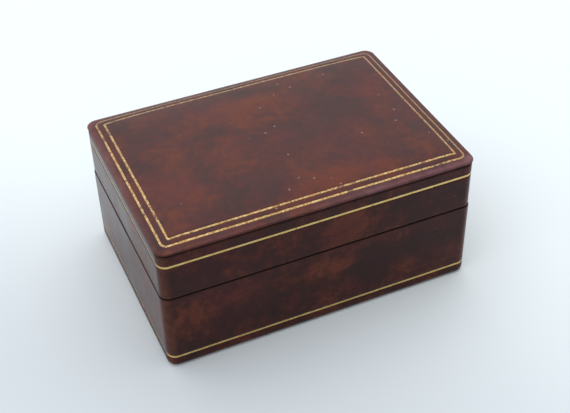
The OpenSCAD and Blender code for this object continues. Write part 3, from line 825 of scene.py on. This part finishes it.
class Nodes:
    """A short way to write the nodes of a material or of the world."""

    def __init__(self, owner, coordinates):
        owner.use_nodes = True
        self.tree = owner.node_tree
        self.place = self.add("ShaderNodeTexCoord").outputs[coordinates]

    def add(self, kind, **settings):
        node = self.tree.nodes.new(kind)
        for key, value in settings.items():
            setattr(node, key, value)
        return node

    def link(self, value, socket):
        """Joins a socket to a socket, or sets it to a fixed value."""
        if isinstance(value, bpy.types.NodeSocket):
            self.tree.links.new(value, socket)
        else:
            socket.default_value = value

    def filled(self, node, inputs):
        for key, value in inputs.items():
            self.link(value, node.inputs[key])
        return node

    def noise(self, scale, detail=4, roughness=0.55, place=None, output="Fac"):
        node = self.add("ShaderNodeTexNoise")
        place = place or self.place
        inputs = {"Vector": place, "Scale": scale, "Detail": detail, "Roughness": roughness}
        return self.filled(node, inputs).outputs[output]

    def cells(self, scale, feature="F1"):
        node = self.add("ShaderNodeTexVoronoi", feature=feature)
        return self.filled(node, {"Vector": self.place, "Scale": scale}).outputs["Distance"]

    def ramp(self, value, low, high, to_low=0.0, to_high=1.0):
        """Maps low..high smoothly to to_low..to_high."""
        node = self.add("ShaderNodeMapRange", interpolation_type="SMOOTHSTEP")
        inputs = {"Value": value, "From Min": low, "From Max": high, "To Min": to_low, "To Max": to_high}
        return self.filled(node, inputs).outputs["Result"]

    def math(self, operation, a, b):
        node = self.add("ShaderNodeMath", operation=operation)
        return self.filled(node, {0: a, 1: b}).outputs["Value"]

    def plus(self, a, b, share):
        """a and a share of b."""
        return self.math("ADD", a, self.math("MULTIPLY", b, share))

    def vector(self, operation, a, b):
        node = self.add("ShaderNodeVectorMath", operation=operation)
        return self.filled(node, {0: a, "Scale" if operation == "SCALE" else 1: b}).outputs["Vector"]

    def measure(self, operation, a, b=(0, 0, 0)):
        """A number from vectors: LENGTH of the first, or the DOT_PRODUCT of both."""
        node = self.add("ShaderNodeVectorMath", operation=operation)
        return self.filled(node, {0: a, 1: b}).outputs["Value"]

    def mix(self, factor, a, b):
        node = self.add("ShaderNodeMix", data_type="RGBA")
        return self.filled(node, {0: factor, 6: a, 7: b}).outputs[2]

    def attribute(self, name):
        return self.add("ShaderNodeAttribute", attribute_name=name).outputs["Fac"]

    def clouds(self, places, at):
        """Soft blobs, 1 at their middles: (centre, half size) of each in millimetres."""
        total = 0.0
        for centre, size in places:
            away = self.vector("SUBTRACT", at, [c * MM for c in centre])
            reach = self.measure("LENGTH", self.vector("DIVIDE", away, [s * MM for s in size]))
            total = self.math("MAXIMUM", total, self.ramp(reach, 1.25, 0.35))
        return total

    def moved(self, amount, scale):
        """The place, shifted by noise, for wispy shapes."""
        shift = self.vector("SUBTRACT", self.noise(scale, 3, output="Color"), (0.5, 0.5, 0.5))
        return self.vector("ADD", self.place, self.vector("SCALE", shift, amount))

    def bump(self, height, depth, strength, under=None):
        node = self.filled(self.add("ShaderNodeBump"),
                           {"Height": height, "Distance": depth, "Strength": strength})
        if under is not None:
            self.link(under, node.inputs["Normal"])
        return node.outputs["Normal"]


class Finish(Nodes):
    """A material in the making."""

    def __init__(self, name):
        self.material = bpy.data.materials.new(name)
        super().__init__(self.material, "Object")

    def done(self, **inputs):
        """Sets the shader's own sockets, named with _ for a space, and gives the material."""
        shader = self.tree.nodes["Principled BSDF"]
        self.filled(shader, {key.replace("_", " "): value for key, value in inputs.items()})
        return self.material


def rgb(r, g, b, dye=1.0):
    """A colour, made lighter or darker by a dye's strength; for the side leather that strength also
    carries painted shade.
    """
    return (r * dye, g * dye, b * dye, 1.0)


# The stronger clouds of the marbling: where they are and their half sizes, in millimetres
RED_CLOUDS = [((-46, -10, 59), (13, 15, 9)), ((-6, 22, 60), (24, 10, 9)), ((-50, -33, 58), (9, 7, 7)),
              ((14, -33, 59), (26, 7, 7)), ((48, 4, 59), (9, 12, 8)), ((10, -45, 43), (18, 7, 8)),
              ((-46, -45, 30), (20, 7, 7)), ((2, -45, 29), (17, 7, 6)), ((34, -45, 16), (7, 6, 7))]
DARK_CLOUDS = [((30, 4, 60), (22, 11, 9)), ((-19, -31, 59), (19, 7, 7)), ((46, 30, 59), (12, 12, 8)),
               ((-33, 26, 59), (8, 9, 7)), ((-35, -45, 17), (12, 7, 9)), ((48, -45, 34), (16, 7, 18)),
               ((-56, -45, 45), (9, 7, 8)), ((22, -45, 22), (16, 7, 8))]


def leather_material(name, dye, red_dye, specks, ior):
    """Marbled calf: clouds of red-brown and grey-brown under a soft polish, with small pale specks.

    dye and red_dye scale the brightness of the hide and of its red clouds; the darker copy for the sides
    is partly a darker hide and partly painted shade. Lighter edges, partly wear and partly a painted
    highlight, the painted sheen of the margin and the painted shade of creases and seams are painted on
    the mesh."""
    m = Finish(name)
    drift = m.moved(0.016, 55)
    red_cloud = m.clouds(RED_CLOUDS, drift)
    dark_cloud = m.clouds(DARK_CLOUDS, drift)
    wisps = m.noise(70, 7, 0.62, m.moved(0.012, 60))
    mottle = m.noise(300, 5, 0.65)
    tone = m.plus(wisps, m.math("SUBTRACT", mottle, 0.5), 0.68)
    tone = m.plus(tone, red_cloud, 0.14)
    tone = m.plus(tone, dark_cloud, -0.14)
    dark = rgb(0.053, 0.0240, 0.0230, dye)
    brown = rgb(0.084, 0.0260, 0.0215, dye)
    red = rgb(0.132, 0.0325, 0.0172, red_dye)
    plum = rgb(0.081, 0.0230, 0.0285, dye)
    colour = m.mix(m.ramp(tone, 0.24, 0.56), dark, brown)
    colour = m.mix(m.ramp(tone, 0.46, 0.80), colour, red)
    tint = m.noise(38, 4, 0.6, m.moved(0.008, 80))
    colour = m.mix(m.ramp(tint, 0.43, 0.73, 0.0, 0.55), colour, plum)
    speck = m.cells(150)
    colour = m.mix(m.ramp(speck, 0.078, 0.038, 0.0, specks), colour, rgb(0.34, 0.24, 0.20))
    # Lighter, redder edges: partly wear, partly a painted highlight.
    wear = m.math("MULTIPLY", m.attribute("wear"), m.ramp(mottle, 0.3, 0.6, 0.25, 0.8))
    colour = m.mix(wear, colour, rgb(0.20, 0.062, 0.036, dye))
    # Painted sheen on the margin of the top.
    faded = m.math("MULTIPLY", m.attribute("faded"), m.ramp(mottle, 0.3, 0.65, 0.6, 1.2))
    colour = m.mix(faded, colour, rgb(0.185, 0.0850, 0.0980, dye))
    # Painted shade in the creases, at the seam and on the left margin.
    colour = m.mix(m.attribute("grime"), colour, rgb(0.010, 0.0055, 0.0050))
    grain = m.noise(2600, 3, 0.6)
    pores = m.cells(1500, "SMOOTH_F1")
    soft = m.noise(320, 3)
    normal = m.bump(soft, 0.00009, 0.5)
    normal = m.bump(pores, 0.00003, 0.35, normal)
    normal = m.bump(grain, 0.00002, 0.35, normal)
    rough = m.ramp(m.plus(wisps, grain, 0.35), 0.4, 1.0, 0.19, 0.30)
    return m.done(Base_Color=colour, Roughness=rough, Normal=normal, IOR=ior)


def gilt_material(name, wear, low, high):
    """Gold leaf pressed into leather, between the colours low and high.

    wear, from 0 to 1, is how uneven it is; the mesh's rub is where it has gone dull."""
    m = Finish(name)
    specks = m.noise(1100, 3, 0.7)
    patches = m.noise(420, 4, 0.65)
    drift = m.noise(60, 2)
    foil_left = m.plus(patches, m.math("SUBTRACT", drift, 0.5), 0.6)
    mask = m.ramp(foil_left, 0.24 + 0.11 * wear, 0.30 + 0.14 * wear)
    bright = m.mix(m.ramp(patches, 0.35, 0.65), low, high)
    dull = rgb(0.30, 0.155, 0.055)
    gold = m.mix(m.ramp(specks, 0.62, 0.42, 0.0, 0.9 * wear), bright, dull)
    gold = m.mix(m.attribute("rub"), gold, rgb(0.34, 0.20, 0.13))
    colour = m.mix(mask, rgb(0.16, 0.062, 0.028), gold)
    rough = m.ramp(patches, 0.3, 0.7, 0.22, 0.42)
    crumpled = m.bump(m.noise(1700, 2, 0.6), 0.0001, 0.15 + 0.75 * wear)
    metal = m.ramp(mask, 0.1, 0.7)
    return m.done(Base_Color=colour, Metallic=metal, Roughness=rough, Normal=crumpled)


def brass_material():
    m = Finish("brass")
    tarnish = m.noise(260, 4, 0.6)
    scratches = m.noise(3000, 2)
    colour = m.mix(m.ramp(tarnish, 0.4, 0.7), rgb(0.74, 0.53, 0.22), rgb(0.44, 0.27, 0.10))
    rough = m.ramp(tarnish, 0.3, 0.7, 0.22, 0.42)
    normal = m.bump(scratches, 0.00001, 0.4)
    return m.done(Base_Color=colour, Metallic=1.0, Roughness=rough, Normal=normal)


def steel_material():
    m = Finish("steel")
    marks = m.noise(900, 3)
    colour = m.mix(m.ramp(marks, 0.35, 0.7), rgb(0.55, 0.53, 0.5), rgb(0.38, 0.35, 0.32))
    rough = m.ramp(marks, 0.3, 0.7, 0.25, 0.4)
    normal = m.bump(marks, 0.00001, 0.4)
    return m.done(Base_Color=colour, Metallic=1.0, Roughness=rough, Normal=normal)


def velvet_material():
    """Burgundy velvet: short pile that lightens where it is brushed."""
    m = Finish("burgundy_velvet")
    brushed = m.noise(120, 4, 0.6, m.moved(0.004, 60))
    pile = m.noise(5200, 2, 0.7)
    colour = m.mix(m.ramp(brushed, 0.35, 0.7), rgb(0.060, 0.0050, 0.0100), rgb(0.115, 0.0100, 0.0190))
    colour = m.mix(m.ramp(pile, 0.3, 0.8, 0.0, 0.5), colour, rgb(0.17, 0.020, 0.032))
    normal = m.bump(pile, 0.00014, 0.7, m.bump(brushed, 0.0004, 0.35))
    return m.done(Base_Color=colour, Normal=normal, Roughness=0.9, IOR=1.25, Sheen_Weight=0.55,
                  Sheen_Roughness=0.35, Sheen_Tint=rgb(0.75, 0.28, 0.34))


def satin_material():
    """Champagne satin: a close weave with a soft sheen."""
    m = Finish("champagne_satin")
    weave = m.add("ShaderNodeTexWave", wave_type="BANDS", bands_direction="X")
    m.filled(weave, {"Vector": m.place, "Scale": 1500, "Distortion": 1.2})
    slubs = m.noise(160, 3)
    age = m.noise(32, 4)
    colour = m.mix(m.ramp(age, 0.35, 0.7), rgb(0.76, 0.63, 0.43), rgb(0.64, 0.50, 0.32))
    normal = m.bump(weave.outputs["Fac"], 0.00003, 0.35, m.bump(slubs, 0.0002, 0.25))
    rough = m.ramp(slubs, 0.3, 0.7, 0.28, 0.40)
    return m.done(Base_Color=colour, Roughness=rough, Normal=normal, IOR=1.5, Sheen_Weight=0.25,
                  Sheen_Roughness=0.3)


def wood_material():
    """Poplar board: pale, with a fine straight grain."""
    m = Finish("poplar")
    stretch = m.filled(m.add("ShaderNodeMapping"), {"Vector": m.place, "Scale": (0.12, 0.12, 1)})
    grain = m.noise(900, 4, 0.6, stretch.outputs["Vector"])
    colour = m.mix(m.ramp(grain, 0.35, 0.65), rgb(0.42, 0.29, 0.17), rgb(0.56, 0.42, 0.27))
    rough = m.ramp(grain, 0.3, 0.7, 0.55, 0.7)
    return m.done(Base_Color=colour, Roughness=rough, Normal=m.bump(grain, 0.0001, 0.4))


def fibre_material(name, dark, pale, scale, depth):
    """A matted, fibrous sheet such as millboard, felt or wadding."""
    m = Finish(name)
    fibres = m.noise(scale, 4, 0.7)
    lumps = m.noise(scale / 8, 3)
    colour = m.mix(m.ramp(m.math("ADD", fibres, lumps), 0.8, 1.25), rgb(*dark), rgb(*pale))
    normal = m.bump(fibres, depth, 0.7)
    return m.done(Base_Color=colour, Normal=normal, Roughness=0.95, Sheen_Weight=0.15)


# ---------- Camera, light and floor ----------

def build_camera():
    """The photograph's view: from the front left and above, turned a little to one side."""
    azimuth, elevation, roll = (math.radians(a) for a in (-23.09, 39.82, -1.46))
    target, distance = (0.0140, 0.0250, 0), 0.4942
    data = bpy.data.cameras.new("camera")
    data.lens, data.sensor_width = 69.58, 36
    data.clip_start = 0.01
    camera = bpy.data.objects.new("camera", data)
    aim = Matrix.Rotation(azimuth, 4, "Z") @ Matrix.Rotation(math.pi / 2 - elevation, 4, "X")
    aim = aim @ Matrix.Rotation(roll, 4, "Z")
    camera.matrix_world = Matrix.Translation(target) @ aim @ Matrix.Translation((0, 0, distance))
    bpy.context.scene.collection.objects.link(camera)
    bpy.context.scene.camera = camera


def build_floor():
    """A plain pale floor with painted shade: a little darker towards the near left."""
    size = 6.0
    mesh = bpy.data.meshes.new("floor")
    corners = [(-size, -size, 0), (size, -size, 0), (size, size, 0), (-size, size, 0)]
    mesh.from_pydata(corners, [], [(0, 1, 2, 3)])
    floor = bpy.data.objects.new("floor", mesh)
    bpy.context.scene.collection.objects.link(floor)
    m = Finish("pale_floor")
    across = m.measure("DOT_PRODUCT", m.place, (0.70, 0.71, 0))
    shaded, lit = rgb(0.605, 0.635, 0.665), rgb(0.790, 0.825, 0.845)
    colour = m.mix(m.ramp(across, -0.11, 0.05), shaded, lit)
    mesh.materials.append(m.done(Base_Color=colour, Roughness=0.9, IOR=1.1))


def build_light():
    """Soft light from above and behind, dim towards the front, as from a tall window."""
    world = bpy.data.worlds.new("soft_room")
    bpy.context.scene.world = world
    m = Nodes(world, "Generated")
    brightest = Vector((-0.25, 0.35, 0.90)).normalized()
    strength = m.ramp(m.measure("DOT_PRODUCT", m.place, brightest), -0.10, 0.85, 0.35, 1.62)
    cool = rgb(0.94, 0.98, 1.0)
    lighting = m.filled(m.tree.nodes["Background"], {"Color": cool, "Strength": strength})
    backdrop = m.filled(m.add("ShaderNodeBackground"), {"Color": rgb(0.90, 0.96, 0.98)})
    seen = m.add("ShaderNodeLightPath").outputs["Is Camera Ray"]
    inputs = {0: seen, 1: lighting.outputs[0], 2: backdrop.outputs[0]}
    both = m.filled(m.add("ShaderNodeMixShader"), inputs)
    m.link(both.outputs[0], m.tree.nodes["World Output"].inputs["Surface"])
    bpy.context.scene.view_settings.view_transform = "Standard"


# ---------- Putting it together ----------

def dress_cad(material, *names):
    """Gives CAD nodes that keep showing their material."""
    for name in names:
        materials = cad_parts[name].data.materials
        materials.clear()
        materials.append(material)


def soften_edges(node, width):
    """A small bevel on a CAD node's sharp edges, width in millimetres."""
    bevel = node.modifiers.new("soft_edges", "BEVEL")
    bevel.width, bevel.segments = width * MM, 2
    bevel.limit_method, bevel.angle_limit = "ANGLE", math.radians(40)


def sides(prefix, suffix):
    return [f"{prefix}_{side}_{suffix}" for side in ("front", "back", "left", "right")]


build_camera()
build_floor()
build_light()

top_leather = leather_material("marbled_top_leather", 0.98, 1.0, 0.7, 1.219)
# The sides' leather is a darker copy of the top's: partly a darker hide and partly painted shade.
side_leather_painted_shade = leather_material("marbled_side_leather", 0.55, 0.92, 0.12, 1.215)
fit_out(build_top_cover(), "lid", "oxblood_leather", top_leather, "lid_top_leather")
fit_out(build_lid_sides(), "lid", "oxblood_leather", side_leather_painted_shade, "lid_side_leather")
fit_out(build_base_cover(), "base", "oxblood_leather", side_leather_painted_shade, "base_leather")

clean_gilt = gilt_material("gilt_line", 0.0, rgb(0.63, 0.43, 0.145), rgb(0.75, 0.545, 0.225))
rubbed_gilt = gilt_material("rubbed_gilt", 1.0, rgb(0.53, 0.36, 0.145), rgb(0.65, 0.475, 0.23))
base_line = build_side_gilt("base_gilt", HALF_W, HALF_D, BASE_GILT_Z, BASE_SEED)
fit_out(base_line, "base", "gilt", clean_gilt, "base_gilt_line")
lid_line = build_side_gilt("lid_side_gilt", LID_HALF_W, LID_HALF_D, LID_GILT_Z, LID_SIDE_SEED)
fit_out(lid_line, "lid", "gilt", clean_gilt, "lid_side_gilt_line")
fit_out(build_outer_frame(), "lid", "gilt", rubbed_gilt, "lid_outer_gilt_frame")
fit_out(build_inner_frame(), "lid", "gilt", rubbed_gilt, "lid_inner_gilt_frame")

cotton = fibre_material("cotton_wadding", (0.62, 0.58, 0.48), (0.80, 0.77, 0.68), 1500, 0.0003)
wadding = fit_out(build_wadding(), "lid", "wadding", cotton, "lid_wadding")

dress_cad(wood_material(), *sides("base", "board"), *sides("lid", "board"))
dress_cad(fibre_material("millboard", (0.22, 0.18, 0.13), (0.34, 0.28, 0.21), 1600, 0.0001),
          "base_bottom_board", "lid_top_board")
felt = fibre_material("dark_felt", (0.012, 0.010, 0.009), (0.035, 0.030, 0.027), 2200, 0.0002)
fit_out(build_underside_felt(), "base", "underside_felt", felt, "underside_pad")

velvet = velvet_material()
for wall in (*sides("base", "lining"), "ring_divider", "long_divider", "cross_divider"):
    card = soft_box(f"{wall}_velvet", wall, radius=0.55, step=2.5, shape=hand_laid)
    fit_out(card, "base", "velvet", velvet, wall)
bed = soft_box("ring_bed_velvet", "ring_bed", radius=0.8, step=3, shape=hand_laid)
fit_out(bed, "base", "velvet", velvet, "ring_bed")
floor_pad = soft_box("floor_pad_velvet", "floor_pad", radius=0.7, step=1.5, shape=floor_shape)
fit_out(floor_pad, "base", "velvet", velvet, "floor_pad")
for number in range(1, 7):
    roll = fit_out(build_ring_roll(number), "base", "velvet", velvet, f"ring_roll_{number}")

satin = satin_material()
for wall in sides("lid", "lining"):
    card = soft_box(f"{wall}_satin", wall, radius=0.45, step=2.5, shape=hand_laid)
    fit_out(card, "lid", "satin", satin, wall)
pad = fit_out(build_lid_pad(), "lid", "satin", satin, "lid_pad")

hinge_parts = [f"{side}_hinge_{part}" for side in ("left", "right")
               for part in ("base_leaf", "lid_leaf", "pin")]
dress_cad(brass_material(), *hinge_parts)
for part in hinge_parts:
    soften_edges(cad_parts[part], width=0.08)
steel = steel_material()
for body, up in (("base", True), ("lid", False)):
    screws = build_screws(f"{body}_screws", f"{body}_hinge_screws", up)
    fit_out(screws, body, "steel", steel, f"{body}_hinge_screws")
